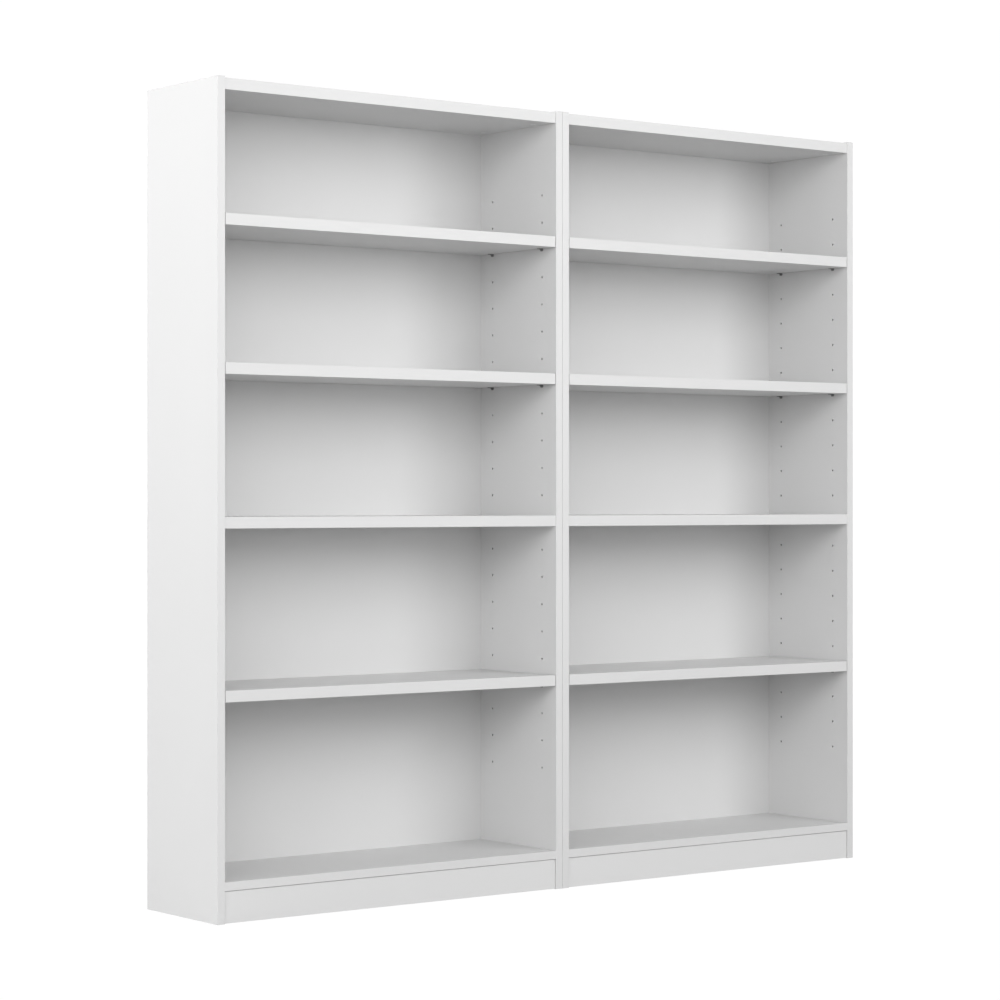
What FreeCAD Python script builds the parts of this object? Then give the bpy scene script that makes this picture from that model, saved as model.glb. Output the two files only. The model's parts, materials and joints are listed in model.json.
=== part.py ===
import FreeCAD
import Part
import os
import Sketcher

# A pair of bookcases that stand side by side, each a knock-down carcass of faced board
# with a fixed middle shelf and three shelves that rest on pull-out pins.
# Origin: middle of the pair on the floor. +X to the right, +Y to the back, +Z up.

# Driving dimensions in millimetres. Depths are measured back from the sides' front plane.
SIZES = (
    ("unit_width", 942),      # one bookcase, outside to outside
    ("unit_depth", 296),
    ("unit_height", 1816),
    ("unit_gap", 0.6),        # joint between the two bookcases
    ("side_thick", 19),
    ("board_thick", 25),      # top and shelves
    ("base_thick", 19),
    ("band_thick", 1),        # plastic strip on a front edge
    ("band_round", 0.8),
    ("back_thick", 3),
    ("back_inset", 1),        # back's rear face to the sides' rear edges
    ("back_low", 72),
    ("back_drop", 2),         # back's upper edge to the top's upper face
    ("back_play", 0.5),       # back's edge to the end of the rabbet
    ("rabbet_width", 9.5),
    ("top_drop", 3),          # top's upper face to the sides' upper ends
    ("top_set", 2),           # setbacks from the sides' front plane
    ("fixed_set", 1.8),
    ("base_set", 0.5),
    ("kick_set", 3),
    ("shelf_set", 0.6),
    ("shelf_play", 1.8),     # gap at each end of a loose shelf
    ("shelf_back_play", 1),
    ("base_low", 70.5),
    ("kick_low", 1),
    ("kick_high", 69.5),
    ("kick_play", 0.75),
    ("hole_bore", 5),         # shelf-pin holes, two columns in each side
    ("hole_deep", 10),
    ("hole_low", 279.5),
    ("hole_pitch", 64),
    ("hole_rows", 22),
    ("hole_front", 53.5),
    ("hole_span", 192),
    ("upper_row", 19),        # rows counted from the lowest, which is row 0
    ("second_row", 14),
    ("fixed_row", 9),
    ("lower_row", 3),
    ("cam_bore", 15),         # cam lock, let into a board from its hidden face
    ("cam_deep", 13),
    ("cam_inset", 26),        # board's end to the cam's middle
    ("cam_axis", 8.5),        # board's hidden face to the bolt's axis
    ("bolt_bore", 8),
    ("dowel_bore", 8),
    ("dowel_side", 11),       # dowel hole's depth in a side
    ("dowel_board", 20),      # dowel hole's depth in a board's end
    ("dowel_front", 149.5),
    ("kick_bolt", 45),        # heights of the kick plate's fittings
    ("kick_dowel", 20),
    ("fit_play", 0.1),        # clearance on the diameter of what sits in a bore
    ("end_play", 0.5),        # clearance between what sits in a bore and its bottom
    ("cam_mouth", 7),         # cam lock's opening for the bolt
    ("cam_mouth_deep", 4),
    ("cross_width", 1.6),     # cross slot in a cam lock's face
    ("cross_span", 7.2),
    ("cross_deep", 2),
    ("collar_bore", 6.8),     # bolt's collar, against the side
    ("collar_long", 1.2),
    ("stem_bore", 5.2),       # bolt's stem, then its neck and its head in the cam
    ("neck_bore", 3.2),
    ("neck_start", 5),        # measured back from the cam's middle
    ("neck_end", 2.5),
    ("head_bore", 6),
    ("head_end", 1.8),
    ("bolt_ease", 0.5),       # chamfer at the thread's tip and round the head
    ("dowel_taper", 1.2),
    ("seat_rise", 3),         # hole's middle to the shelf's underside
    ("seat_reach", 12),
    ("pin_width", 10),
    ("pin_plate", 1.5),
    ("pin_drop", 3.2),        # hole's middle to the foot of the pin's leg
    ("pin_taper", 2),
    ("pin_deep", 9),          # length of the pin's shank
    ("pin_lead", 0.5),        # chamfer at the shank's end
    ("pin_bite", 0.2),        # how far the pin's parts run into each other
    ("nail_edge", 5),         # nail to the side's inner face
    ("nail_shank", 1.4),
    ("nail_head", 4.4),
    ("nail_long", 18),
    ("nail_tip", 2),
    ("nail_dome", 0.8),
    ("nail_end", 40),         # lowest and highest nails to the back's ends
    ("side_nails", 14),
    ("board_nails", 6),
)

# Expressions that several pieces share, each worked out from the cells above.
INNER_WIDTH = "(Sizes.unit_width - 2 * Sizes.side_thick)"
SIDE_DEPTH = "(Sizes.unit_depth - Sizes.band_thick)"
BACK_FACE = "(Sizes.unit_depth - Sizes.back_inset - Sizes.back_thick)"
TOP_LOW = "(Sizes.unit_height - Sizes.top_drop - Sizes.board_thick)"
FIXED_LOW = "(Sizes.hole_low + Sizes.fixed_row * Sizes.hole_pitch - Sizes.cam_axis)"
BOLT_FRONTS = ("Sizes.hole_front", "(Sizes.hole_front + Sizes.hole_span)")
KICK_AXIS = "(Sizes.kick_set + Sizes.base_thick - Sizes.cam_axis)"
CAM_LEVELS = {
    "top": f"({TOP_LOW} + Sizes.cam_axis)",
    "fixed": f"({FIXED_LOW} + Sizes.cam_axis)",
    "base": "(Sizes.base_low + Sizes.cam_axis)",
}
UNITS = {
    "left": "(-Sizes.unit_width - Sizes.unit_gap / 2)",
    "right": "(Sizes.unit_gap / 2)",
}
UNIT_FRONT = "(-Sizes.unit_depth / 2)"

doc = FreeCAD.newDocument("bookcase")
sheet = doc.addObject("Spreadsheet::Sheet", "Sizes")
nodes = []


def fill_sheet():
    for line, (alias, value) in enumerate(SIZES, 1):
        sheet.set(f"A{line}", alias)
        sheet.set(f"B{line}", str(value))
        sheet.setAlias(f"B{line}", alias)
    doc.recompute()


def size(expression):
    """The number that an expression gives now."""
    return float(sheet.evalExpression(expression))


def place(piece, x, y, z):
    """Binds a piece's place to the sheet."""
    for axis, expression in (("x", x), ("y", y), ("z", z)):
        piece.setExpression(f"Placement.Base.{axis}", expression)


def place_in_unit(piece, unit, x, y, z):
    """Places a piece from its bookcase's own left, front, bottom corner."""
    place(piece, f"{UNITS[unit]} + {x}", f"{UNIT_FRONT} + {y}", z)


# Sketches and features of a body

def origin_feature(body, role):
    for feature in body.Origin.OriginFeatures:
        if feature.Role == role:
            return feature
    raise ValueError(role)


def new_body(name):
    body = doc.addObject("PartDesign::Body", name)
    body.Label = name
    return body


def new_sketch(body, name, role, offset="0"):
    """A sketch on one of its body's own origin planes, moved along the plane's normal."""
    sketch = body.newObject("Sketcher::SketchObject", f"{body.Name}_{name}")
    sketch.AttachmentSupport = (origin_feature(body, role), [""])
    sketch.MapMode = "FlatFace"
    sketch.setExpression("AttachmentOffset.Base.z", offset)
    return sketch


def pin_point(sketch, geometry, point, x, y):
    """Holds a point of the sketch at bound distances from the sketch's origin."""
    for kind, expression in (("DistanceX", x), ("DistanceY", y)):
        held = Sketcher.Constraint(kind, -1, 1, geometry, point, size(expression))
        index = sketch.addConstraint(held)
        sketch.setExpression(f"Constraints[{index}]", expression)


def draw_outline(sketch, corners):
    """A closed outline of straight lines, with every corner bound."""
    spots = [FreeCAD.Vector(size(x), size(y), 0) for x, y in corners]
    count = len(spots)
    for index in range(count):
        sketch.addGeometry(Part.LineSegment(spots[index], spots[(index + 1) % count]))
    for index in range(count):
        following = (index + 1) % count
        sketch.addConstraint(Sketcher.Constraint("Coincident", index, 2, following, 1))
    for index, (x, y) in enumerate(corners):
        pin_point(sketch, index, 1, x, y)


def draw_rectangle(sketch, width, height):
    draw_outline(sketch, (("0", "0"), (width, "0"), (width, height), ("0", height)))


def draw_circles(sketch, middles, diameter):
    normal = FreeCAD.Vector(0, 0, 1)
    for x, y in middles:
        middle = FreeCAD.Vector(size(x), size(y), 0)
        index = sketch.addGeometry(Part.Circle(middle, normal, size(diameter) / 2))
        pin_point(sketch, index, 3, x, y)
        held = Sketcher.Constraint("Diameter", index, size(diameter))
        number = sketch.addConstraint(held)
        sketch.setExpression(f"Constraints[{number}]", diameter)


def add_pad(body, sketch, length, backwards=False, both_ways=False):
    pad = body.newObject("PartDesign::Pad", f"{sketch.Name}_pad")
    pad.Profile = sketch
    pad.setExpression("Length", length)
    pad.Reversed = backwards
    if both_ways:
        pad.SideType = "Symmetric"
    doc.recompute()
    return pad


def add_pocket(body, sketch, depth, with_normal):
    """Cuts along the sketch's normal, or against it, and makes sure that it did cut."""
    before = body.Tip.Shape.Volume
    pocket = body.newObject("PartDesign::Pocket", f"{sketch.Name}_pocket")
    pocket.Profile = sketch
    pocket.setExpression("Length", depth)
    pocket.Reversed = with_normal
    doc.recompute()
    if pocket.Shape.Volume > before - 1:
        raise ValueError(f"{pocket.Name} cuts nothing")
    return pocket


def add_turning(body, sketch, axis):
    """Turns a half outline once round one of its sketch's axes."""
    turning = body.newObject("PartDesign::Revolution", f"{sketch.Name}_turning")
    turning.Profile = sketch
    turning.ReferenceAxis = (sketch, [axis])
    turning.Angle = 360
    doc.recompute()
    return turning


def bore_both_ends(body, name, spots, diameter, depth, length):
    """The same bores into a board's left end and its right end, along X."""
    for end, offset, inward in (("left", "0", True), ("right", length, False)):
        sketch = new_sketch(body, f"{name}_{end}", "YZ_Plane", offset)
        draw_circles(sketch, spots, diameter)
        add_pocket(body, sketch, depth, inward)


# Boards

def finish(piece, node):
    """Names the piece for its file and lists it for export."""
    piece.Label = node
    nodes.append(piece)


def make_side(unit, name, inner_on_right):
    """An upright panel: a rabbet for the back, and bores in its inner face."""
    thick = "Sizes.side_thick"
    rabbet = "Sizes.rabbet_width"
    shoulder = f"({BACK_FACE} - Sizes.band_thick)"
    body = new_body(f"{unit}_{name}")
    section = new_sketch(body, "section", "XY_Plane")
    if inner_on_right:
        cut = f"({thick} - {rabbet})"
        corners = (("0", "0"), (thick, "0"), (thick, shoulder), (cut, shoulder))
        corners += ((cut, SIDE_DEPTH), ("0", SIDE_DEPTH))
    else:
        corners = (("0", "0"), (thick, "0"), (thick, SIDE_DEPTH), (rabbet, SIDE_DEPTH))
        corners += ((rabbet, shoulder), ("0", shoulder))
    draw_outline(section, corners)
    add_pad(body, section, "Sizes.unit_height")
    inner = thick if inner_on_right else "0"

    pins = new_sketch(body, "pin_holes", "YZ_Plane", inner)
    lowest = [(f"{front} - Sizes.band_thick", "Sizes.hole_low") for front in BOLT_FRONTS]
    draw_circles(pins, lowest, "Sizes.hole_bore")
    column = add_pocket(body, pins, "Sizes.hole_deep", not inner_on_right)
    pattern = body.newObject("PartDesign::LinearPattern", f"{body.Name}_hole_rows")
    pattern.Originals = [column]
    pattern.Direction = (origin_feature(body, "Z_Axis"), [""])
    pattern.setExpression("Length", "Sizes.hole_pitch * (Sizes.hole_rows - 1)")
    pattern.setExpression("Occurrences", "Sizes.hole_rows")
    body.Tip = pattern
    doc.recompute()

    bolts = new_sketch(body, "bolt_holes", "YZ_Plane", inner)
    spots = []
    for level in ("top", "base"):
        spots += [(f"{front} - Sizes.band_thick", CAM_LEVELS[level]) for front in BOLT_FRONTS]
    spots.append((f"{KICK_AXIS} - Sizes.band_thick", "Sizes.kick_bolt"))
    draw_circles(bolts, spots, "Sizes.hole_bore")
    add_pocket(body, bolts, "Sizes.hole_deep", not inner_on_right)

    dowels = new_sketch(body, "dowel_holes", "YZ_Plane", inner)
    spots = [("Sizes.dowel_front - Sizes.band_thick", level) for level in CAM_LEVELS.values()]
    spots.append((f"{KICK_AXIS} - Sizes.band_thick", "Sizes.kick_dowel"))
    draw_circles(dowels, spots, "Sizes.dowel_bore")
    add_pocket(body, dowels, "Sizes.dowel_side", not inner_on_right)

    x = "0" if inner_on_right else "Sizes.unit_width - Sizes.side_thick"
    place_in_unit(body, unit, x, "Sizes.band_thick", "0")
    finish(body, f"{unit}_{name}")


def make_cam_board(unit, name, thick, setback, low):
    """A level board held at each end by two cam locks and a dowel."""
    front = f"({setback} + Sizes.band_thick)"
    body = new_body(f"{unit}_{name}")
    plan = new_sketch(body, "plan", "XY_Plane")
    draw_rectangle(plan, INNER_WIDTH, f"{BACK_FACE} - {front}")
    add_pad(body, plan, thick)

    cams = new_sketch(body, "cam_bores", "XY_Plane")
    spots = []
    for x in ("Sizes.cam_inset", f"{INNER_WIDTH} - Sizes.cam_inset"):
        spots += [(x, f"{y} - {front}") for y in BOLT_FRONTS]
    draw_circles(cams, spots, "Sizes.cam_bore")
    add_pocket(body, cams, "Sizes.cam_deep", True)

    bolts = [(f"{y} - {front}", "Sizes.cam_axis") for y in BOLT_FRONTS]
    bore_both_ends(body, "bolt", bolts, "Sizes.bolt_bore", "Sizes.cam_inset", INNER_WIDTH)
    dowels = [(f"Sizes.dowel_front - {front}", "Sizes.cam_axis")]
    bore_both_ends(body, "dowel", dowels, "Sizes.dowel_bore", "Sizes.dowel_board", INNER_WIDTH)
    place_in_unit(body, unit, "Sizes.side_thick", front, low)
    finish(body, f"{unit}_{name}")


def make_kick_plate(unit):
    """The plinth board, with its cams let into its rear face."""
    length = f"({INNER_WIDTH} - 2 * Sizes.kick_play)"
    thick = "Sizes.base_thick"
    body = new_body(f"{unit}_kick_plate")
    plan = new_sketch(body, "plan", "XY_Plane")
    draw_rectangle(plan, length, thick)
    add_pad(body, plan, "Sizes.kick_high - Sizes.kick_low")

    cams = new_sketch(body, "cam_bores", "XZ_Plane", f"-{thick}")
    rise = "Sizes.kick_bolt - Sizes.kick_low"
    inset = "(Sizes.cam_inset - Sizes.kick_play)"
    draw_circles(cams, ((inset, rise), (f"{length} - {inset}", rise)), "Sizes.cam_bore")
    add_pocket(body, cams, "Sizes.cam_deep", True)

    axis = f"{thick} - Sizes.cam_axis"
    bore_both_ends(body, "bolt", [(axis, rise)], "Sizes.bolt_bore", inset, length)
    dowel = [(axis, "Sizes.kick_dowel - Sizes.kick_low")]
    bore_both_ends(body, "dowel", dowel, "Sizes.dowel_bore", "Sizes.dowel_board", length)
    place_in_unit(body, unit, "Sizes.side_thick + Sizes.kick_play", "Sizes.kick_set", "Sizes.kick_low")
    finish(body, f"{unit}_kick_plate")


def make_plain_board(unit, name, length, depth, thick, corner):
    """A board with no fittings: a loose shelf or the thin back."""
    body = new_body(f"{unit}_{name}")
    plan = new_sketch(body, "plan", "XY_Plane")
    draw_rectangle(plan, length, depth)
    add_pad(body, plan, thick)
    place_in_unit(body, unit, *corner)
    finish(body, f"{unit}_{name}")


def make_band(unit, name, length, height, corner, upright=False):
    """An edge strip: its front arrises are rounded, and an upright one's top end too."""
    body = new_body(f"{unit}_{name}_band")
    plan = new_sketch(body, "plan", "XY_Plane")
    draw_rectangle(plan, length, "Sizes.band_thick")
    pad = add_pad(body, plan, height)
    top = size(height)
    long_axis = FreeCAD.Vector(0, 0, 1) if upright else FreeCAD.Vector(1, 0, 0)
    arrises = []
    for number, edge in enumerate(pad.Shape.Edges, 1):
        middle = edge.CenterOfMass
        along = abs(edge.tangentAt(edge.FirstParameter).dot(long_axis)) > 0.99
        at_top = upright and abs(middle.z - top) < 0.01
        if abs(middle.y) < 0.01 and (along or at_top):
            arrises.append(f"Edge{number}")
    rounding = body.newObject("PartDesign::Fillet", f"{body.Name}_rounding")
    rounding.Base = (pad, arrises)
    rounding.setExpression("Radius", "Sizes.band_round")
    doc.recompute()
    place_in_unit(body, unit, *corner)
    finish(body, f"{unit}_{name}_band")


# Fittings: one model of each, which the groups repeat

def turned_fitting(name, plane, axis, half_outline):
    body = new_body(name)
    sketch = new_sketch(body, "half", plane)
    draw_outline(sketch, half_outline)
    add_turning(body, sketch, axis)
    return body


def make_cam():
    """A cam lock: its slotted face at z = 0, its mouth for the bolt towards -X."""
    radius = "((Sizes.cam_bore - Sizes.fit_play) / 2)"
    slot_half = "Sizes.cross_width / 2"
    slot_reach = "Sizes.cross_span / 2"
    body = new_body("cam")
    disc = new_sketch(body, "disc", "XY_Plane")
    draw_circles(disc, (("0", "0"),), f"2 * {radius}")
    add_pad(body, disc, "Sizes.cam_deep - Sizes.end_play")
    mouth = new_sketch(body, "mouth", "YZ_Plane", f"-{radius}")
    draw_circles(mouth, (("0", "Sizes.cam_axis"),), "Sizes.cam_mouth")
    add_pocket(body, mouth, f"{radius} + Sizes.cam_mouth_deep", True)
    cross = new_sketch(body, "cross", "XY_Plane")
    corners = []
    for side_x, side_y in ((1, 1), (-1, 1), (-1, -1), (1, -1)):
        tall = (f"{side_x} * {slot_half}", f"{side_y} * {slot_reach}")
        wide = (f"{side_x} * {slot_reach}", f"{side_y} * {slot_half}")
        inner = (f"{side_x} * {slot_half}", f"{side_y} * {slot_half}")
        turn = [wide, inner, tall] if side_x == side_y else [tall, inner, wide]
        corners += turn
    draw_outline(cross, corners)
    add_pocket(body, cross, "Sizes.cross_deep", True)
    return body


def make_cam_bolt():
    """A bolt: x = 0 at the side's inner face, its thread towards -X, its head in the cam."""
    thread = "(Sizes.hole_bore - Sizes.fit_play) / 2"
    tip = "(Sizes.end_play - Sizes.hole_deep)"
    collar = "Sizes.collar_bore / 2"
    stem = "Sizes.stem_bore / 2"
    neck = "Sizes.neck_bore / 2"
    head = "Sizes.head_bore / 2"
    ease = "Sizes.bolt_ease"
    stem_end = "(Sizes.cam_inset - Sizes.neck_start)"
    neck_end = "(Sizes.cam_inset - Sizes.neck_end)"
    head_end = "(Sizes.cam_inset + Sizes.head_end)"
    half_outline = (
        (tip, "0"), (tip, f"{thread} - {ease}"), (f"{tip} + {ease}", thread), ("0", thread),
        ("0", collar), ("Sizes.collar_long", collar), ("Sizes.collar_long", stem),
        (stem_end, stem), (stem_end, neck), (neck_end, neck), (neck_end, f"{head} - {ease}"),
        (f"{neck_end} + {ease}", head), (f"{head_end} - 2 * {ease}", head),
        (head_end, f"{head} - 2 * {ease}"), (head_end, "0"),
    )
    return turned_fitting("cam_bolt", "XZ_Plane", "H_Axis", half_outline)


def make_dowel():
    """A beech dowel with tapered ends: x = 0 at the side's inner face."""
    radius = "(Sizes.dowel_bore - Sizes.fit_play) / 2"
    waist = f"{radius} - Sizes.dowel_taper / 2"
    low = "(2 * Sizes.end_play - Sizes.dowel_side)"
    high = "(Sizes.dowel_board - 2 * Sizes.end_play)"
    half_outline = (
        (low, "0"), (low, waist), (f"{low} + Sizes.dowel_taper", radius),
        (f"{high} - Sizes.dowel_taper", radius), (high, waist), (high, "0"),
    )
    return turned_fitting("dowel", "XZ_Plane", "H_Axis", half_outline)


def make_nail():
    """A panel nail driven towards -Y: y = 0 under its head."""
    shank = "Sizes.nail_shank / 2"
    head = "Sizes.nail_head / 2"
    dome = "Sizes.nail_dome"
    half_outline = (
        ("0", "-Sizes.nail_long"), (shank, "Sizes.nail_tip - Sizes.nail_long"), (shank, "0"),
        (head, "0"), (head, f"{dome} / 2"), (f"{head} - {dome}", dome), ("0", dome),
    )
    return turned_fitting("nail", "XY_Plane", "V_Axis", half_outline)


def make_shelf_pin():
    """An angle support for a left wall: shank towards -X, seat towards +X, ribbed below."""
    plate = "Sizes.pin_plate"
    top = "Sizes.seat_rise"
    under = f"({top} - {plate})"
    half = "Sizes.pin_width / 2"
    foot = "(Sizes.pin_width / 2 - Sizes.pin_taper)"
    low = "-Sizes.pin_drop"
    reach = "Sizes.seat_reach"
    body = new_body("shelf_pin")

    leg = new_sketch(body, "leg", "YZ_Plane")
    right = ((foot, low), (half, "0"), (half, top))
    left = ((f"-{half}", top), (f"-{half}", "0"), (f"-{foot}", low))
    draw_outline(leg, right + left)
    add_pad(body, leg, plate)

    seat = new_sketch(body, "seat", "XZ_Plane")
    draw_outline(seat, (("0", under), (reach, under), (reach, top), ("0", top)))
    add_pad(body, seat, "Sizes.pin_width", both_ways=True)

    rib = new_sketch(body, "rib", "XZ_Plane")
    bite = "Sizes.pin_bite"
    inside = f"({plate} - {bite})"
    roof = f"({under} + {bite})"
    end = f"({reach} - Sizes.pin_taper)"
    corners = ((inside, low), (plate, low), (end, under), (end, roof), (inside, roof))
    draw_outline(rib, corners)
    add_pad(body, rib, plate, both_ways=True)

    shank = new_sketch(body, "shank", "YZ_Plane", bite)
    draw_circles(shank, (("0", "0"),), "Sizes.hole_bore - Sizes.fit_play")
    pad = add_pad(body, shank, f"Sizes.pin_deep + {bite}", backwards=True)
    end = -size("Sizes.pin_deep")
    rims = []
    for number, edge in enumerate(pad.Shape.Edges, 1):
        if abs(edge.CenterOfMass.x - end) < 0.01:
            rims.append(f"Edge{number}")
    lead = body.newObject("PartDesign::Chamfer", "shelf_pin_lead")
    lead.Base = (pad, rims)
    lead.setExpression("Size", "Sizes.pin_lead")
    doc.recompute()
    return body


# Groups of fittings

def half_turn(about_x=0):
    """Faces the right end of a board, after which the piece may be tipped about X."""
    tip = FreeCAD.Rotation(FreeCAD.Vector(1, 0, 0), about_x)
    return tip.multiply(FreeCAD.Rotation(FreeCAD.Vector(0, 0, 1), 180))


def make_group(unit, name, fitting, spots):
    """Repeats a fitting: each spot is a place in its bookcase, with a rotation."""
    copies = []
    for number, (x, y, z, rotation) in enumerate(spots, 1):
        copy = doc.addObject("App::Link", f"{unit}_{name}_{number}")
        copy.LinkedObject = fitting
        copy.Placement = FreeCAD.Placement(FreeCAD.Vector(), rotation)
        place(copy, x, y, z)
        copies.append(copy)
    group = doc.addObject("Part::Compound", f"{unit}_{name}")
    group.Links = copies
    place_in_unit(group, unit, "0", "0", "0")
    finish(group, f"{unit}_{name}")


def end_spots(inset, y, z, tip=0):
    """The same spot at a board's left end and, turned round, at its right end."""
    left = FreeCAD.Rotation(FreeCAD.Vector(1, 0, 0), tip)
    near = f"Sizes.side_thick + {inset}"
    far = f"Sizes.unit_width - Sizes.side_thick - {inset}"
    return [(near, y, z, left), (far, y, z, half_turn(tip))]


def make_fittings(unit, models):
    cams = []
    bolts = []
    dowels = []
    undersides = {"top": TOP_LOW, "fixed": FIXED_LOW, "base": "Sizes.base_low"}
    for level, underside in undersides.items():
        for front in BOLT_FRONTS:
            cams += end_spots("Sizes.cam_inset", front, underside)
            bolts += end_spots("0", front, CAM_LEVELS[level])
        dowels += end_spots("0", "Sizes.dowel_front", CAM_LEVELS[level])
    kick_rear = "Sizes.kick_set + Sizes.base_thick"
    cams += end_spots("Sizes.cam_inset", kick_rear, "Sizes.kick_bolt", 90)
    bolts += end_spots("0", KICK_AXIS, "Sizes.kick_bolt")
    dowels += end_spots("0", KICK_AXIS, "Sizes.kick_dowel")
    make_group(unit, "cam_locks", models["cam"], cams)
    make_group(unit, "cam_bolts", models["bolt"], bolts)
    make_group(unit, "dowels", models["dowel"], dowels)


def make_back_nails(unit, nail):
    """Nails through the back: a row up each side, and one along each fixed board."""
    straight = FreeCAD.Rotation()
    rear = "Sizes.unit_depth - Sizes.back_inset"
    spots = []
    low = "Sizes.back_low + Sizes.nail_end"
    high = "Sizes.unit_height - Sizes.top_drop - Sizes.nail_end"
    near = "Sizes.side_thick - Sizes.nail_edge"
    for x in (near, f"Sizes.unit_width - ({near})"):
        for step in range(int(size("Sizes.side_nails"))):
            z = f"{low} + {step} * ({high} - ({low})) / (Sizes.side_nails - 1)"
            spots.append((x, rear, z, straight))
    middles = (
        f"{TOP_LOW} + Sizes.board_thick / 2",
        f"{FIXED_LOW} + Sizes.board_thick / 2",
        "Sizes.base_low + Sizes.base_thick / 2",
    )
    for z in middles:
        for step in range(int(size("Sizes.board_nails"))):
            x = f"Sizes.side_thick + ({step} + 0.5) * {INNER_WIDTH} / Sizes.board_nails"
            spots.append((x, rear, z, straight))
    make_group(unit, "back_nails", nail, spots)


def make_shelf_pins(unit, shelf, pin):
    """Two pins in the left wall and two in the right wall, under one loose shelf."""
    level = f"Sizes.hole_low + Sizes.{shelf}_row * Sizes.hole_pitch"
    for wall, rotation in (("left", FreeCAD.Rotation()), ("right", half_turn())):
        x = "Sizes.side_thick"
        if wall == "right":
            x = "Sizes.unit_width - Sizes.side_thick"
        spots = [(x, front, level, rotation) for front in BOLT_FRONTS]
        make_group(unit, f"{shelf}_pins_{wall}", pin, spots)


# One bookcase

def make_carcass(unit):
    outer_is_left = unit == "left"
    sides = {"left": "outer_side", "right": "inner_side"}
    if not outer_is_left:
        sides = {"left": "inner_side", "right": "outer_side"}
    make_side(unit, sides["left"], True)
    make_side(unit, sides["right"], False)
    for wall, name in sides.items():
        x = "0" if wall == "left" else "Sizes.unit_width - Sizes.side_thick"
        corner = (x, "0", "0")
        make_band(unit, name, "Sizes.side_thick", "Sizes.unit_height", corner, upright=True)

    boards = (
        ("top", "Sizes.board_thick", "Sizes.top_set", TOP_LOW),
        ("fixed_shelf", "Sizes.board_thick", "Sizes.fixed_set", FIXED_LOW),
        ("base", "Sizes.base_thick", "Sizes.base_set", "Sizes.base_low"),
    )
    for name, thick, setback, low in boards:
        make_cam_board(unit, name, thick, setback, low)
        make_band(unit, name, INNER_WIDTH, thick, ("Sizes.side_thick", setback, low))
    make_kick_plate(unit)

    overlap = "(Sizes.rabbet_width - Sizes.back_play)"
    make_plain_board(
        unit, "back_panel",
        f"{INNER_WIDTH} + 2 * {overlap}",
        "Sizes.back_thick",
        "Sizes.unit_height - Sizes.top_drop - Sizes.back_drop - Sizes.back_low",
        (f"Sizes.side_thick - {overlap}", BACK_FACE, "Sizes.back_low"),
    )


def make_loose_shelf(unit, shelf):
    low = f"Sizes.hole_low + Sizes.{shelf}_row * Sizes.hole_pitch + Sizes.seat_rise"
    length = f"({INNER_WIDTH} - 2 * Sizes.shelf_play)"
    x = "Sizes.side_thick + Sizes.shelf_play"
    front = "(Sizes.shelf_set + Sizes.band_thick)"
    depth = f"{BACK_FACE} - Sizes.shelf_back_play - {front}"
    name = f"{shelf}_shelf"
    make_plain_board(unit, name, length, depth, "Sizes.board_thick", (x, front, low))
    make_band(unit, name, length, "Sizes.board_thick", (x, "Sizes.shelf_set", low))


def check_document():
    """Stops if any object failed, or a piece has no sound solid."""
    doc.recompute()
    for thing in doc.Objects:
        if "Invalid" in thing.State or "Error" in thing.State:
            raise ValueError(f"{thing.Name} is {thing.State}")
    for piece in nodes:
        shape = piece.Shape
        if shape.isNull() or not shape.isValid() or not shape.Solids:
            raise ValueError(f"{piece.Label} has no sound shape")


def write_nodes():
    os.makedirs("parts", exist_ok=True)
    for piece in nodes:
        piece.Shape.exportStep(os.path.join("parts", f"{piece.Label}.step"))
        box = piece.Shape.BoundBox
        spans = " x ".join(f"{span:.1f}" for span in (box.XLength, box.YLength, box.ZLength))
        print(f"{piece.Label}: {len(piece.Shape.Solids)} solid(s), {spans}")


fill_sheet()
fittings = {"cam": make_cam(), "bolt": make_cam_bolt(), "dowel": make_dowel()}
back_nail = make_nail()
shelf_pin = make_shelf_pin()
for unit_name in UNITS:
    make_carcass(unit_name)
    make_fittings(unit_name, fittings)
    make_back_nails(unit_name, back_nail)
    for shelf_name in ("upper", "second", "lower"):
        make_loose_shelf(unit_name, shelf_name)
        make_shelf_pins(unit_name, shelf_name, shelf_pin)
check_document()
write_nodes()
print(f"{len(nodes)} nodes")
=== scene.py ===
import json
import math

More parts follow.
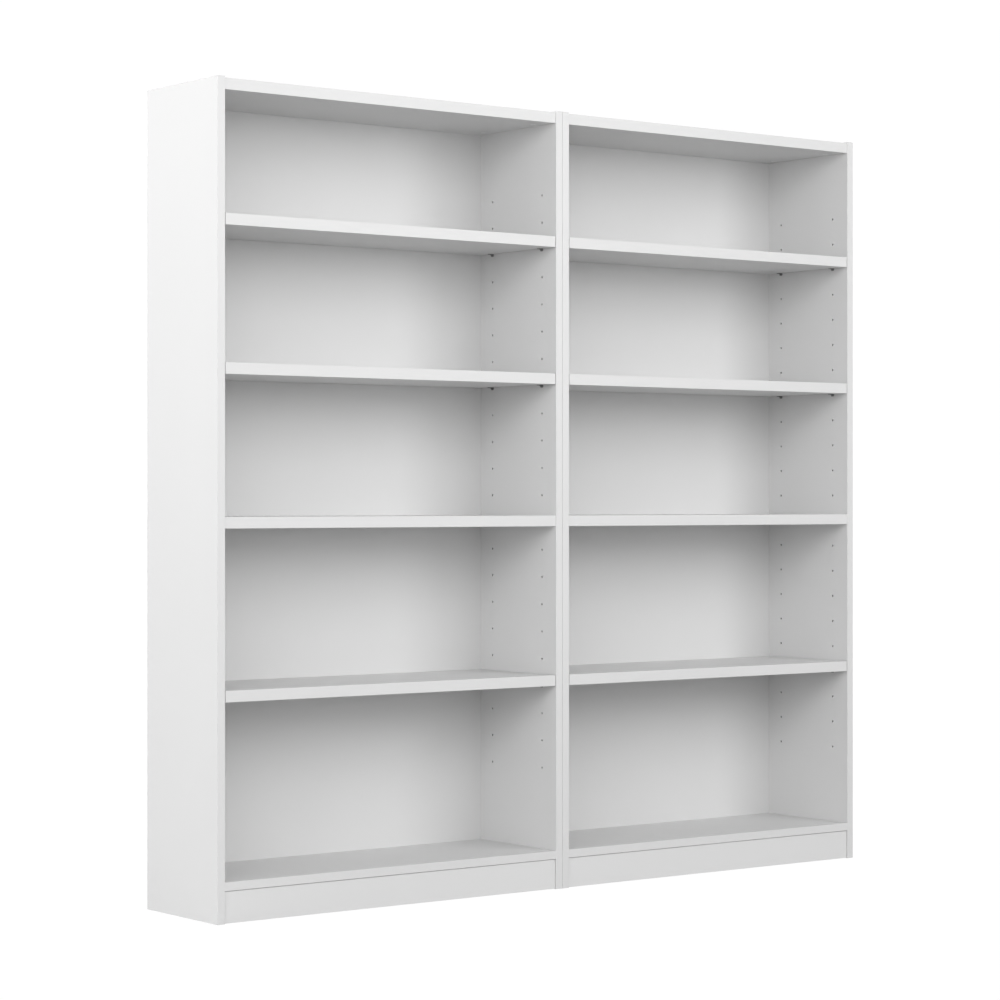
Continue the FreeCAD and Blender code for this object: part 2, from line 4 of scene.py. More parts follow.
import bmesh
import bpy
import numpy as np
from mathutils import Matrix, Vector


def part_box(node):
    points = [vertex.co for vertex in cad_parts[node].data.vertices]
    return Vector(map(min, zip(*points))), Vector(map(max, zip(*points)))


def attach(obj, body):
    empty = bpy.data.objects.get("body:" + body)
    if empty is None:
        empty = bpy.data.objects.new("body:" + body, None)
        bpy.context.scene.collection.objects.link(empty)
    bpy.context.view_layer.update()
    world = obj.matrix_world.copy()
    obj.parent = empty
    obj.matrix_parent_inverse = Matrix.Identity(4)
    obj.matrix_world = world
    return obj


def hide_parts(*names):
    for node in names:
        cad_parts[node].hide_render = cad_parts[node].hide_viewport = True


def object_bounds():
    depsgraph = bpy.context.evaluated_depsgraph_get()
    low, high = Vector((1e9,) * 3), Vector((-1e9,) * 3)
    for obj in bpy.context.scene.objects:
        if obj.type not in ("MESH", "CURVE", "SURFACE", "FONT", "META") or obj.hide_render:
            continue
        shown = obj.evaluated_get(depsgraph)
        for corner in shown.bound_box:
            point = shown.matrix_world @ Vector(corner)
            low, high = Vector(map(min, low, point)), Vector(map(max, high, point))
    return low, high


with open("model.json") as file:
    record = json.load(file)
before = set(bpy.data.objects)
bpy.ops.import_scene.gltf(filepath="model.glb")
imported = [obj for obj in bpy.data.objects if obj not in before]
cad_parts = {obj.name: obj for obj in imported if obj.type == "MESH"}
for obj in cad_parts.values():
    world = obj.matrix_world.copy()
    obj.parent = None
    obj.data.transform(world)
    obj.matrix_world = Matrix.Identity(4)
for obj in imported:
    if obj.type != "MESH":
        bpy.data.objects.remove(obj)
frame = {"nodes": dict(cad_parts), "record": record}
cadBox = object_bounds()

mm = 0.001
weldReach = 0.0001 * mm     # points of a new shell this near are one
mergeReach = 0.001 * mm     # the same for a copy of a node
smoothUnder = 34            # degrees: an edge that turns further than this is sharp
bodies = frame["record"]["behaviour"]["bodies"]
bodyOf = {node: body for body, nodes in bodies.items() for node in nodes}
slotOf = {part["node"]: part["material_slot"] for part in frame["record"]["subparts"]}


def nodesIn(slot):
    return [node for node in frame["nodes"] if slotOf[node] == slot]


# Shells: every new shape is a stack of closed outlines with a skin over them. An outline is an
# array of points, a stack is outlines x points x 3.

def skin(rings):
    # Quads from each outline to the next and round it, then a flat lid on both ends.
    count, around = rings.shape[:2]
    ring, spot = np.meshgrid(np.arange(count - 1), np.arange(around), indexing="ij")
    here = ring * around + spot
    beside = ring * around + (spot + 1) % around
    quads = np.stack([here, beside, beside + around, here + around], axis=-1).reshape(-1, 4)
    first = np.arange(around)[::-1]
    last = np.arange(around) + (count - 1) * around
    return rings.reshape(-1, 3), [quads, first[None, :], last[None, :]]


def turned(along, radii, around):
    # Rings about X: at each step along, the point at angle a is (along, radius cos a, radius sin a).
    # The radius is one number for a ring, or one for each of its points.
    angle = np.arange(around) * 2 * np.pi / around
    radius = np.broadcast_to(np.reshape(radii, (len(along), -1)), (len(along), around))
    x = np.broadcast_to(np.reshape(along, (-1, 1)), radius.shape)
    return np.stack([x, radius * np.cos(angle), radius * np.sin(angle)], axis=-1)


def roundedOutlines(halfU, halfV, corner, steps=3):
    # Rounded rectangles, one for each pair of half sizes: a quarter circle of the corner's radius
    # in each quadrant, in turn anticlockwise.
    sweep = np.linspace(0, np.pi / 2, steps + 1)
    angle = np.concatenate([sweep + quarter * np.pi / 2 for quarter in range(4)])
    signU = np.repeat([1, -1, -1, 1], steps + 1)
    signV = np.repeat([1, 1, -1, -1], steps + 1)
    u = signU * (np.reshape(halfU, (-1, 1)) - corner) + corner * np.cos(angle)
    v = signV * (np.reshape(halfV, (-1, 1)) - corner) + corner * np.sin(angle)
    return u, v


def placed(rings, origin, turn=None):
    # Rings in metres about a spot, turned first by a 3 x 3 matrix of the new axes.
    turnedRings = rings if turn is None else rings @ np.array(turn, float).T
    return turnedRings + np.array(origin, float)


halfTurn = ((-1, 0, 0), (0, -1, 0), (0, 0, 1))
alongY = ((0, -1, 0), (1, 0, 0), (0, 0, 1))


def newPiece(name, mesh, material, node):
    # Puts a finished mesh in the scene in a node's stead: same body.
    mesh.materials.clear()
    mesh.materials.append(material)
    mesh.shade_smooth()
    mesh.set_sharp_from_angle(angle=math.radians(smoothUnder))
    piece = bpy.data.objects.new(name, mesh)
    bpy.context.scene.collection.objects.link(piece)
    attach(piece, bodyOf[node])
    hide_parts(node)
    return piece


def shellMesh(name, stacks):
    # One mesh from several skinned stacks, each a closed shell of its own.
    points, faces, start = [], [], 0
    for rings in stacks:
        spots, groups = skin(rings)
        points.append(spots)
        for group in groups:
            faces += (group + start).tolist()
        start += len(spots)
    mesh = bpy.data.meshes.new(name)
    mesh.from_pydata(np.concatenate(points).tolist(), [], faces)
    work = bmesh.new()
    work.from_mesh(mesh)
    bmesh.ops.remove_doubles(work, verts=work.verts, dist=weldReach)
    bmesh.ops.recalc_face_normals(work, faces=work.faces)
    work.to_mesh(mesh)
    work.free()
    return mesh


def solidsOf(node):
    # The box of each separate solid in a node. Every point starts with its own number and takes
    # the lowest among the points it shares an edge with, until a whole solid has one number.
    # Points in the same micrometre are one point.
    mesh = frame["nodes"][node].data
    places = np.empty(len(mesh.vertices) * 3)
    mesh.vertices.foreach_get("co", places)
    places = places.reshape(-1, 3)
    merged = np.unique(np.round(places, 6), axis=0, return_inverse=True)[1].reshape(-1)
    edges = np.empty(len(mesh.edges) * 2, int)
    mesh.edges.foreach_get("vertices", edges)
    ends = merged[edges].reshape(-1, 2)
    number = np.arange(merged.max() + 1)
    settled = False
    while not settled:
        lowest = number[ends].min(axis=1)
        following = number.copy()
        np.minimum.at(following, ends[:, 0], lowest)
        np.minimum.at(following, ends[:, 1], lowest)
        settled = bool((following == number).all())
        number = following
    whose = number[merged]
    solids = [places[whose == one] for one in np.unique(whose)]
    return [(solid.min(axis=0), solid.max(axis=0)) for solid in solids]


# Material nodes. The dictionaries give a noise as its scale, detail and roughness, and a bump as
# its depth and strength.

class Finish:

    def __init__(self, name):
        self.material = bpy.data.materials.new(name)
        self.material.use_nodes = True
        self.tree = self.material.node_tree
        self.tree.nodes.clear()
        self.output = self.tree.nodes.new("ShaderNodeOutputMaterial")
        self.shader = self.tree.nodes.new("ShaderNodeBsdfPrincipled")
        self.tree.links.new(self.shader.outputs["BSDF"], self.output.inputs["Surface"])
        self.places = self.tree.nodes.new("ShaderNodeTexCoord").outputs["Object"]
        split = self.tree.nodes.new("ShaderNodeSeparateXYZ")
        self.tree.links.new(self.places, split.inputs[0])
        self.axes = list(split.outputs[:3])

    def feed(self, socket, value):
        if isinstance(value, bpy.types.NodeSocket):
            self.tree.links.new(value, socket)
        else:
            socket.default_value = value

    def maths(self, operation, first, second=0.0):
        node = self.tree.nodes.new("ShaderNodeMath")
        node.operation = operation
        self.feed(node.inputs[0], first)
        self.feed(node.inputs[1], second)
        return node.outputs[0]

    def noise(self, scale, detail=2.0, roughness=0.5, stretch=(1.0, 1.0, 1.0)):
        mapping = self.tree.nodes.new("ShaderNodeMapping")
        self.feed(mapping.inputs["Vector"], self.places)
        mapping.inputs["Scale"].default_value = stretch
        node = self.tree.nodes.new("ShaderNodeTexNoise")
        self.feed(node.inputs["Vector"], mapping.outputs[0])
        node.inputs["Scale"].default_value = scale
        node.inputs["Detail"].default_value = detail
        node.inputs["Roughness"].default_value = roughness
        return node.outputs["Fac"]

    def ramp(self, fac, stops):
        node = self.tree.nodes.new("ShaderNodeValToRGB")
        self.feed(node.inputs[0], fac)
        points = node.color_ramp.elements
        for point, (position, colour) in zip(points, stops):
            point.position = position
            point.color = (*colour, 1.0)
        return node.outputs[0]

    def mix(self, fac, first, second):
        node = self.tree.nodes.new("ShaderNodeMix")
        node.data_type = "RGBA"
        self.feed(node.inputs[0], fac)
        self.feed(node.inputs[6], first)
        self.feed(node.inputs[7], second)
        return node.outputs[2]

    def span(self, value, low, high):
        node = self.tree.nodes.new("ShaderNodeMapRange")
        self.feed(node.inputs[0], value)
        node.inputs[3].default_value = low
        node.inputs[4].default_value = high
        return node.outputs[0]

    def bump(self, height, distance, strength=1.0, after=None):
        node = self.tree.nodes.new("ShaderNodeBump")
        node.inputs["Strength"].default_value = strength
        node.inputs["Distance"].default_value = distance
        self.feed(node.inputs["Height"], height)
        if after:
            self.feed(node.inputs["Normal"], after)
        return node.outputs[0]

    def within(self, axis, edge, reach):
        # 1 where the point is nearer than reach to a plane across that axis, else 0.
        away = self.maths("ABSOLUTE", self.maths("SUBTRACT", self.axes[axis], edge))
        return self.maths("LESS_THAN", away, reach)

    def surface(self, colour, roughness, normal, metallic=0.0):
        self.feed(self.shader.inputs["Base Color"], colour)
        self.feed(self.shader.inputs["Roughness"], roughness)
        self.shader.inputs["Metallic"].default_value = metallic
        self.feed(self.shader.inputs["Normal"], normal)
        return self.material


def grey(value):
    return (value, value, value, 1.0)


def whites(piece):
    # The darkest and the lightest white of a piece.
    return piece["white"] - piece["drift"], piece["white"] + piece["drift"]


# Boards: white facing on particleboard

facing = {"white": 0.64, "drift": 0.008, "clouds": (2.2, 3.0), "thickness": 0.35 * mm,
          "gloss": (0.42, 0.50), "sheen": (14.0, 3.0), "rawRough": 0.42,
          "peel": (900.0, 1.0), "peelBump": (0.012 * mm, 0.6), "poreBump": (0.4 * mm, 0.8),
          "grain": (420.0, 4.0, 0.65), "grainStops": (0.32, 0.68),
          "bore": ((0.28, 0.28, 0.275), (0.42, 0.415, 0.41)),
          "chips": ((0.27, 0.18, 0.10), (0.56, 0.43, 0.28)), "rawReach": 12 * mm}


def facedBoard(node, foiled):
    # White within the facing's thickness of the two broad sides and of the foiled ends. Under it,
    # coarse chips near the board's own edges and a paler drilled core in its bores.
    low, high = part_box(node)
    spans = [high[k] - low[k] for k in range(3)]
    thin = spans.index(min(spans))
    f = Finish("faced_" + node)
    white = f.maths("MAXIMUM", f.within(thin, low[thin], facing["thickness"]),
                    f.within(thin, high[thin], facing["thickness"]))
    for axis, edge in foiled:
        foil = f.within(axis, (low, high)[edge][axis], facing["thickness"])
        white = f.maths("MAXIMUM", white, foil)
    raw = 0.0
    for axis in {0, 1, 2} - {thin}:
        for edge in (low[axis], high[axis]):
            raw = f.maths("MAXIMUM", f.within(axis, edge, facing["rawReach"]), raw)
    shade = f.span(f.noise(*facing["clouds"]), *whites(facing))
    grain = f.noise(*facing["grain"])
    bore = f.ramp(grain, zip(facing["grainStops"], facing["bore"]))
    chips = f.ramp(grain, zip(facing["grainStops"], facing["chips"]))
    colour = f.mix(white, f.mix(raw, bore, chips), shade)
    rawRough = f.maths("MULTIPLY", f.maths("SUBTRACT", 1.0, white), facing["rawRough"])
    sheen = f.span(f.noise(*facing["sheen"]), *facing["gloss"])
    rough = f.maths("ADD", sheen, rawRough)
    peel = f.bump(f.noise(*facing["peel"]), *facing["peelBump"])
    gaps = f.maths("MULTIPLY", grain, f.maths("SUBTRACT", 1.0, white))
    return f.surface(colour, rough, f.bump(gaps, *facing["poreBump"], peel))


easing = {"width": 0.25 * mm, "segments": 2, "angle": 40, "flat": 0.5}


def easedCopy(node, name, material, width):
    # The node's own solid with its loose triangles merged into flat faces and its edges eased.
    work = bmesh.new()
    work.from_mesh(frame["nodes"][node].data)
    bmesh.ops.remove_doubles(work, verts=work.verts, dist=mergeReach)
    flat = math.radians(easing["flat"])
    bmesh.ops.dissolve_limit(work, angle_limit=flat, verts=work.verts, edges=work.edges)
    mesh = bpy.data.meshes.new(name)
    work.to_mesh(mesh)
    work.free()
    if "custom_normal" in mesh.attributes:
        mesh.attributes.remove(mesh.attributes["custom_normal"])
    piece = newPiece(name, mesh, material, node)
    ease = piece.modifiers.new("eased_edges", "BEVEL")
    ease.width = width
    ease.segments = easing["segments"]
    ease.limit_method = "ANGLE"
    ease.angle_limit = math.radians(easing["angle"])
    ease.use_clamp_overlap = False
    ease.harden_normals = True
    return piece


bottomEnd, topEnd, leftEnd, rightEnd = (2, 0), (2, 1), (0, 0), (0, 1)
for node in nodesIn("faced_board"):
    foiled = ()
    if node.endswith("side"):
        foiled = (topEnd,)
    elif node.endswith("kick_plate"):
        foiled = (bottomEnd, topEnd)
    elif bodyOf[node] != "carcass":
        foiled = (leftEnd, rightEnd)
    easedCopy(node, "board_" + node, facedBoard(node, foiled), easing["width"])
print("boards: faced and eased")


# Edge strips on the front of every board

strip = {"white": 0.618, "drift": 0.008, "clouds": (3.0, 2.0), "round": 0.3 * mm, "steps": 3,
         "gloss": (0.38, 0.46), "lines": (1400.0, 2.0), "drawn": 0.02, "lineBump": (0.008 * mm, 0.5)}


def stripFinish(long):
    # White plastic with faint lines drawn along its length.
    f = Finish("edge_strip_" + "xyz"[long])
    stretch = [1.0, 1.0, 1.0]
    stretch[long] = strip["drawn"]
    lines = f.noise(*strip["lines"], stretch=stretch)
    shade = f.span(f.noise(*strip["clouds"]), *whites(strip))
    return f.surface(shade, f.span(lines, *strip["gloss"]), f.bump(lines, *strip["lineBump"]))


def stripRings(low, high, long):
    # A flat back and a front with quarter-round arrises, carried along the strip. An upright one
    # rounds over at its top too: at r sin a above the start of the rounding, its front falls back
    # by r (1 - cos a).
    r, deep = strip["round"], high[1] - low[1]
    across = 0 if long == 2 else 2
    wide = high[across] - low[across]
    sweep = np.linspace(0, np.pi / 2, strip["steps"] + 1)
    climb, turnIn = r * np.sin(sweep), r * (1 - np.cos(sweep))
    near = np.stack([turnIn, deep - r + climb], axis=-1)
    far = np.stack([wide - turnIn, deep - r + climb], axis=-1)[::-1]
    outline = np.concatenate([[[0, 0]], near, far, [[wide, 0]]])
    stations, fall = np.array([low[long], high[long]]), np.zeros(2)
    if long == 2:
        stations = np.append(low[2], high[2] - r + climb)
        fall = np.append(0, turnIn)
    rings = np.empty((len(stations), len(outline), 3))
    rings[..., across] = low[across] + outline[:, 0]
    rings[..., 1] = high[1] - outline[:, 1] * (1 - fall[:, None] / deep)
    rings[..., long] = stations[:, None]
    return rings


stripFinishes = {}
for node in nodesIn("edge_band"):
    low, high = (np.array(corner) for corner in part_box(node))
    long = int(np.argmax(high - low))
    if long not in stripFinishes:
        stripFinishes[long] = stripFinish(long)
    mesh = shellMesh("strip_" + node, [stripRings(low, high, long)])
    piece = newPiece("strip_" + node, mesh, stripFinishes[long], node)
    flatten = piece.modifiers.new("flat_faces", "WEIGHTED_NORMAL")
    flatten.keep_sharp = True
print("edge strips: drawn")


# Back panels: thin fibre board, lacquered in front

fibre = {"white": 0.64, "drift": 0.01, "clouds": (4.0, 3.0), "lacquer": 0.35 * mm,
         "brown": ((0.18, 0.112, 0.065), (0.30, 0.197, 0.115)),
         "grain": (650.0, 5.0, 0.7), "grainStops": (0.30, 0.72),
         "gloss": (0.42, 0.50), "sheen": (9.0, 2.0), "rawRough": 0.36,
         "peel": (600.0, 1.0), "peelBump": (0.015 * mm, 0.6),
         "meshPitch": 2.1 * mm, "meshBump": (0.08 * mm, 0.8), "ease": 0.2 * mm}


def backFinish(node):
    # White lacquer on the front; behind it bare fibres pressed with a woven wire's print,
    # sin(x) sin(z) at the wire's pitch.
    low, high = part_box(node)
    f = Finish("fibre_" + node)
    front = f.within(1, low[1], fibre["lacquer"])
    behind = f.maths("SUBTRACT", 1.0, front)
    brown = f.ramp(f.noise(*fibre["grain"]), zip(fibre["grainStops"], fibre["brown"]))
    colour = f.mix(front, brown, f.span(f.noise(*fibre["clouds"]), *whites(fibre)))
    wave = 2 * math.pi / fibre["meshPitch"]
    across, up = (f.maths("SINE", f.maths("MULTIPLY", f.axes[k], wave)) for k in (0, 2))
    weave = f.maths("MULTIPLY", f.maths("MULTIPLY", across, up), behind)
    peel = f.bump(f.noise(*fibre["peel"]), *fibre["peelBump"])
    sheen = f.span(f.noise(*fibre["sheen"]), *fibre["gloss"])
    rough = f.maths("ADD", sheen, f.maths("MULTIPLY", behind, fibre["rawRough"]))
    return f.surface(colour, rough, f.bump(weave, *fibre["meshBump"], peel))


for node in nodesIn("hardboard"):
    easedCopy(node, "panel_" + node, backFinish(node), fibre["ease"])
print("back panels: lacquered")


# Metal: every fitting has its own value, gloss, share of metal and depth of grain

plating = {"patches": (180.0, 2.0), "patchStops": (0.3, 0.7), "shares": (0.86, 1.08),
           "grain": (2400.0, 3.0, 0.6), "strength": 0.5}


def platedFinish(name, fitting):
    # A fine tumbled grain with a slightly patchy sheen.
    f = Finish(name)
    patches = f.noise(*plating["patches"])
    greys = [(fitting["value"] * share,) * 3 for share in plating["shares"]]
    colour = f.ramp(patches, zip(plating["patchStops"], greys))
    grain = f.bump(f.noise(*plating["grain"]), fitting["grainDepth"], plating["strength"])
    return f.surface(colour, f.span(patches, *fitting["gloss"]), grain, fitting["metal"])


# Shelf pins: a bent plate with a rib under its seat and a shank in the side's hole. The root and
# the waist are places along the shank, as shares of its length.

shelfPin = {"seatReach": 12 * mm, "drop": 3.2 * mm, "plate": 1.5 * mm, "bend": 0.9 * mm,
            "tipRound": 2.0 * mm, "footHalf": 2.7 * mm, "corner": 0.3 * mm, "lap": 0.2 * mm,
            "tipSteps": 7, "bendSteps": 6, "footSteps": 8,
            "ribHalf": 0.7 * mm, "ribReach": 10 * mm, "ribFoot": 0.3 * mm, "ribCurve": 1.6,
            "ribSteps": 9, "ribFlat": 0.8, "ribDraw": 0.96,
            "shank": 2.45 * mm, "waist": 2.25 * mm, "lead": 0.5 * mm, "around": 28,
            "root": 0.03, "waistAt": (-0.3, -0.38, -0.62, -0.7),
            "value": 0.27, "gloss": (0.32, 0.46), "metal": 1.0, "grainDepth": 0.01 * mm}


def bentPlate(rise, wide):
    # The plate's middle line runs in from the seat's tip, turns down round the bend and ends at
    # the foot. Its section is a rounded rectangle, as wide as two circles at the tip allow and
    # narrowing as a quarter ellipse below the hole.
    p = shelfPin
    thick = p["plate"] / 2
    level, wall = rise - thick, thick
    tipTurn, turn, footTurn = (np.linspace(0, np.pi / 2, p[part + "Steps"])
                               for part in ("tip", "bend", "foot"))
    tip = p["seatReach"] - p["tipRound"] * (1 - np.cos(tipTurn))
    seatX = np.append(tip, wall + p["bend"] + p["lap"])
    legZ = -p["drop"] * np.sin(footTurn)
    x = np.concatenate([seatX, wall + p["bend"] * (1 - np.sin(turn)), np.full(len(legZ), wall)])
    z = np.concatenate([np.full(len(seatX), level), level - p["bend"] * (1 - np.cos(turn)), legZ])
    tilt = np.concatenate([np.zeros(len(seatX)), turn, np.full(len(legZ), np.pi / 2)])
    fromTip = p["tipRound"] - np.minimum(p["seatReach"] - x, p["tipRound"])
    below = np.clip(-z / p["drop"], 0, 1)
    half = wide / 2 - p["tipRound"] + np.sqrt(p["tipRound"] ** 2 - fromTip ** 2)
    spread = (wide / 2 - p["footHalf"]) * np.sqrt(1 - below ** 2)
    half = np.where(below > 0, p["footHalf"] + spread, half)
    u, v = roundedOutlines(np.full(len(x), thick), half, p["corner"])
    outX, outZ = -np.sin(tilt)[:, None], np.cos(tilt)[:, None]
    return np.stack([x[:, None] + u * outX, v, z[:, None] + u * outZ], axis=-1)


def ribRings(rise):
    # A web under the seat, lapped into the plate: its lower edge climbs from the foot as
    # 1 - (1 - t)^curve. The two outer outlines are drawn in a little, which eases its edges.
    p = shelfPin
    t = np.linspace(1, 0, p["ribSteps"])
    start, roof = p["plate"] - p["lap"], rise - p["plate"] + p["lap"]
    foot = p["ribFoot"] - p["drop"]
    x = start + (p["ribReach"] - start) * t
    z = foot + (roof - foot) * (1 - (1 - t) ** p["ribCurve"])
    outline = np.stack([np.append(x, start), np.append(z, roof)], axis=-1)
    middle = outline.mean(axis=0)
    share = np.array([p["ribDraw"], 1, 1, p["ribDraw"]])
    rings = middle + (outline - middle) * share[:, None, None]
    y = p["ribHalf"] * np.array([-1, -p["ribFlat"], p["ribFlat"], 1])
    across = np.broadcast_to(y[:, None], rings.shape[:2])
    return np.stack([rings[..., 0], across, rings[..., 1]], axis=-1)


def pinStacks(low, high, wall):
    # All parts of one pin about its hole's middle on a left wall, then set in place.
    p = shelfPin
    rise, wide = high[2] - low[2] - p["drop"], high[1] - low[1]
    deep = high[0] - low[0] - p["seatReach"]
    full, waist, tip = p["shank"], p["waist"], p["shank"] - p["lead"]
    along = np.array([p["root"], *p["waistAt"], p["lead"] / deep - 1, -1]) * deep
    shank = turned(along, np.array([full, full, waist, waist, full, full, tip]), p["around"])
    face = high[0] - p["seatReach"] if wall == "left" else low[0] + p["seatReach"]
    origin = (face, (low[1] + high[1]) / 2, low[2] + p["drop"])
    turn = halfTurn if wall == "right" else None
    return [placed(rings, origin, turn) for rings in (bentPlate(rise, wide), ribRings(rise), shank)]


pinFinish = platedFinish("dark_nickel", shelfPin)
for node in nodesIn("pin_nickel"):
    wall = node.rsplit("_", 1)[1]
    stacks = [rings for low, high in solidsOf(node) for rings in pinStacks(low, high, wall)]
    newPiece("bent_" + node, shellMesh("bent_" + node, stacks), pinFinish, node)
print("shelf pins: bent and ribbed")


# Cam locks

camLock = {"ease": 0.2 * mm,
           "value": 0.84, "gloss": (0.26, 0.38), "metal": 0.35, "grainDepth": 0.02 * mm}

camFinish = platedFinish("cast_zinc", camLock)
for node in nodesIn("cam_zinc"):
    easedCopy(node, "cast_" + node, camFinish, camLock["ease"])
print("cam locks: eased")


# Cam bolts: a thread in the side, a collar, a stem and a round head in the cam

camBolt = {"thread": 2.45 * mm, "root": 1.85 * mm, "pitch": 1.9 * mm, "threadEnd": -9.5 * mm,
           "step": 0.19 * mm, "around": 20, "toothHeight": 1.35, "toothSlope": 2.2,
           "turnsIn": 2, "turnsOut": 0.4, "tipShare": 0.1,
           "value": 0.55, "gloss": (0.28, 0.42), "metal": 1.0, "grainDepth": 0.01 * mm,
           "body": ((0.05, 3.1), (0.3, 3.4), (0.9, 3.4), (1.2, 3.1), (1.2, 2.6),
                    (20.7, 2.6), (21.0, 2.2), (21.0, 1.6), (23.5, 1.6), (23.6, 2.3),
                    (24.2, 2.85), (25.2, 3.0), (26.6, 2.95), (27.4, 2.5), (27.8, 1.7))}


def boltRings():
    # Thread: the radius climbs from the root to a crest once a turn, root + (crest - root)
    # ridge(x / pitch - a / turn), where ridge is a flat-sided tooth. It grows over the first turns
    # and fades over the last. The turned body is a profile of places along X and radii, in
    # millimetres.
    b = camBolt
    x = np.arange(b["threadEnd"], 0, b["step"])[:, None]
    angle = np.arange(b["around"]) / b["around"]
    phase = (x / b["pitch"] - angle) % 1
    tooth = np.clip(b["toothHeight"] - np.abs(2 * phase - 1) * b["toothSlope"], 0, 1)
    fadeIn = np.clip((x - b["threadEnd"]) / (b["turnsIn"] * b["pitch"]) + b["tipShare"], 0, 1)
    fadeOut = np.clip(-x / (b["turnsOut"] * b["pitch"]), 0, 1)
    radius = b["root"] + (b["thread"] - b["root"]) * tooth * fadeIn * fadeOut
    thread = turned(x[:, 0], radius, b["around"])
    places, radii = np.array(b["body"]).T * mm
    return np.concatenate([thread, turned(places, radii, b["around"])])


def endFittings(node, material, prefix, rings, inSide):
    # Repeats a fitting that lies along X at both ends of a board: x = 0 is the side's face, and
    # the fitting goes that far into the side.
    solids = solidsOf(node)
    middle = np.mean([(low[0] + high[0]) / 2 for low, high in solids])
    stacks = []
    for low, high in solids:
        atLeft = low[0] < middle
        face = low[0] + inSide if atLeft else high[0] - inSide
        origin = (face, (low[1] + high[1]) / 2, (low[2] + high[2]) / 2)
        stacks.append(placed(rings, origin, None if atLeft else halfTurn))
    newPiece(prefix + node, shellMesh(prefix + node, stacks), material, node)


boltFinish = platedFinish("bright_steel", camBolt)
for node in nodesIn("bolt_steel"):
    endFittings(node, boltFinish, "threaded_", boltRings(), -camBolt["threadEnd"])
print("cam bolts: threaded")


# Dowels

dowel = {"radius": 3.95 * mm, "inSide": 10 * mm, "inBoard": 19 * mm, "taper": 1.2 * mm,
         "shoulder": (0, 0.25, 0.6, 1.0), "shoulderCurve": 1.5,
         "flutes": 12, "fluteDepth": 0.22 * mm, "around": 72,
         "grain": (700.0, 3.0), "drawn": 0.06, "grainStops": (0.3, 0.7),
         "beech": ((0.45, 0.29, 0.15), (0.68, 0.49, 0.29)),
         "gloss": (0.56, 0.68), "grainBump": (0.04 * mm, 0.6)}


def dowelRings():
    # Straight flutes: the radius dips by the flute's depth times the root of cos(flutes a), where
    # that is above 0. At a share s of the taper's length from an end, the radius is smaller by
    # (1 - s)^curve of half the taper, which rounds the shoulder.
    d = dowel
    angle = np.arange(d["around"]) * 2 * np.pi / d["around"]
    dip = d["fluteDepth"] * np.clip(np.cos(d["flutes"] * angle), 0, 1) ** 0.5
    share = np.array(d["shoulder"])
    x = np.concatenate([share * d["taper"] - d["inSide"], (d["inBoard"] - share * d["taper"])[::-1]])
    drop = d["taper"] / 2 * (1 - share) ** d["shoulderCurve"]
    radius = d["radius"] - np.concatenate([drop, drop[::-1]])
    return turned(x, radius[:, None] - dip, d["around"])


def beechFinish():
    # Grain along X with short dark flecks.
    f = Finish("beech")
    grain = f.noise(*dowel["grain"], stretch=(dowel["drawn"], 1.0, 1.0))
    colour = f.ramp(grain, zip(dowel["grainStops"], dowel["beech"]))
    return f.surface(colour, f.span(grain, *dowel["gloss"]), f.bump(grain, *dowel["grainBump"]))


beech = beechFinish()
for node in nodesIn("dowel_wood"):
    endFittings(node, beech, "fluted_", dowelRings(), dowel["inSide"])
print("dowels: fluted")


# Back nails: a turned profile of places along the nail and radii, in millimetres

nail = {"around": 12, "value": 0.56, "gloss": (0.30, 0.45), "metal": 1.0, "grainDepth": 0.01 * mm,
        "outline": ((-18, 0.08), (-16, 0.7), (0, 0.7), (0, 2.2),
                    (0.25, 2.2), (0.5, 1.85), (0.7, 1.2), (0.8, 0.4))}

nailFinish = platedFinish("zinc_plate", nail)
for node in nodesIn("nail_steel"):
    places, radii = np.array(nail["outline"]).T * mm
    shape = turned(places, radii, nail["around"])
    stacks = []
    for low, high in solidsOf(node):
        underHead = high[1] - places.max()
        origin = ((low[0] + high[0]) / 2, underHead, (low[2] + high[2]) / 2)
        stacks.append(placed(shape, origin, alongY))
    newPiece("domed_" + node, shellMesh("domed_" + node, stacks), nailFinish, node)
print("back nails: domed")


# Studio: a pale floor, a white sweep round it all, soft boxes and the camera

ground = {"white": 0.45, "drift": 0.01, "clouds": (1.5, 2.0), "rough": 0.9,
          "grain": (300.0, 2.0), "grainDepth": 0.02 * mm,
          "reach": 40.0, "tiles": 4, "drop": 0.5 * mm}
studio = {"sweepReach": 60.0, "sweepRows": 17, "sweepColumns": 32, "sweepGlow": 1.0, "room": 0.443}

# Each soft box: where it stands, its width and height, and its power. All face the middle.
softBoxes = {
    "left": ((-4.0, 1.5, 2.8), (2.0, 2.0), 86.0),
    "farLeft": ((-8.73, -1.54, 2.46), (2.0, 2.0), 79.0),
    "farFrontLeft": ((-8.03, -3.75, 2.46), (2.0, 2.0), 96.0),
    "frontLeft": ((-4.5, -4.5, 2.4), (3.6, 3.6), 134.0),
    "front": ((0.0, -4.7, 2.6), (3.2, 3.2), 33.0),
    "frontRight": ((1.5, -4.1, 3.0), (3.2, 3.2), 80.0),
    "frontRightLow": ((2.46, -4.26, 1.77), (1.6, 1.6), 25.5),
}


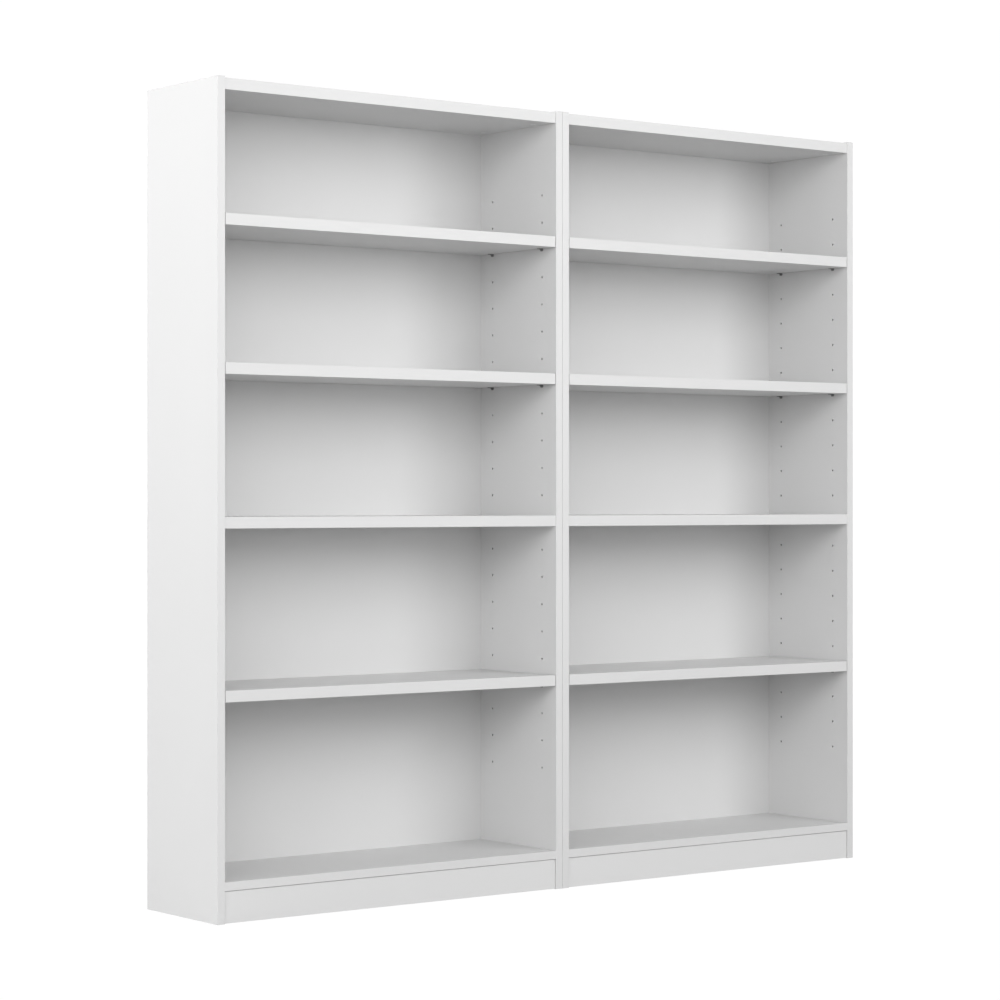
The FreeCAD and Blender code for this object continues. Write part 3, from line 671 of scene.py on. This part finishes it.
def makeFloor():
    # A level grid just under the lowest ends of the sides.
    reach, corners = ground["reach"], ground["tiles"] + 1
    steps = np.linspace(-reach, reach, corners)
    across, along = np.meshgrid(steps, steps, indexing="ij")
    level = np.full_like(across, -ground["drop"])
    points = np.stack([across, along, level], axis=-1).reshape(-1, 3)
    index = np.arange(corners ** 2).reshape(corners, corners)
    tiles = [index[:-1, :-1], index[1:, :-1], index[1:, 1:], index[:-1, 1:]]
    faces = np.stack(tiles, axis=-1).reshape(-1, 4)
    mesh = bpy.data.meshes.new("floor")
    mesh.from_pydata(points.tolist(), [], faces.tolist())
    floor = bpy.data.objects.new("floor", mesh)
    bpy.context.scene.collection.objects.link(floor)
    f = Finish("pale_floor")
    shade = f.span(f.noise(*ground["clouds"]), *whites(ground))
    grain = f.bump(f.noise(*ground["grain"]), ground["grainDepth"])
    floor.data.materials.append(f.surface(shade, ground["rough"], grain))
    floor.visible_camera = False


def makeSweep():
    # A sphere far outside the room: the even white that the camera sees behind and below. At
    # climb c and angle a, the point is (cos c cos a, cos c sin a, sin c) times the reach.
    rows, columns = studio["sweepRows"], studio["sweepColumns"]
    climb = np.linspace(-np.pi / 2, np.pi / 2, rows)[1:-1, None]
    angle = np.arange(columns) * 2 * np.pi / columns
    rings = np.stack([np.cos(climb) * np.cos(angle), np.cos(climb) * np.sin(angle),
                      np.broadcast_to(np.sin(climb), (rows - 2, columns))], axis=-1)
    mesh = shellMesh("sweep", [rings * studio["sweepReach"]])
    sweep = bpy.data.objects.new("sweep", mesh)
    bpy.context.scene.collection.objects.link(sweep)
    glow = bpy.data.materials.new("white_sweep")
    glow.use_nodes = True
    shader = glow.node_tree.nodes["Principled BSDF"]
    shader.inputs["Base Color"].default_value = grey(0.0)
    shader.inputs["Emission Color"].default_value = grey(1.0)
    shader.inputs["Emission Strength"].default_value = studio["sweepGlow"]
    mesh.materials.append(glow)
    sweep.visible_diffuse = False
    sweep.visible_glossy = False
    sweep.visible_shadow = False


def makeSoftBox(name, place, size, watts):
    lamp = bpy.data.lights.new(name, "AREA")
    lamp.shape = "RECTANGLE"
    lamp.size, lamp.size_y = size
    lamp.energy = watts
    holder = bpy.data.objects.new(name, lamp)
    bpy.context.scene.collection.objects.link(holder)
    holder.location = place
    middle = (cadBox[0] + cadBox[1]) / 2
    holder.rotation_euler = (middle - Vector(place)).to_track_quat("-Z", "Y").to_euler()


# A level view from the front left, so that uprights stay upright.
camera = {"place": (-4.1222, -5.3197, 0.9082), "turn": 37.29, "lens": 101.83, "sensor": 36.0}


def makeCamera():
    data = bpy.data.cameras.new("view")
    data.lens = camera["lens"]
    data.sensor_width = camera["sensor"]
    view = bpy.data.objects.new("view", data)
    bpy.context.scene.collection.objects.link(view)
    view.location = camera["place"]
    view.rotation_euler = (math.radians(90), 0, -math.radians(camera["turn"]))
    bpy.context.scene.camera = view


world = bpy.data.worlds.new("studio")
bpy.context.scene.world = world
world.use_nodes = True
world.node_tree.nodes["Background"].inputs["Color"].default_value = grey(1.0)
world.node_tree.nodes["Background"].inputs["Strength"].default_value = studio["room"]
bpy.context.scene.view_settings.view_transform = "Standard"
makeFloor()
makeSweep()
for name, (place, size, watts) in softBoxes.items():
    makeSoftBox(name, place, size, watts)
makeCamera()
print("studio: floor, sweep, soft boxes and camera are set")
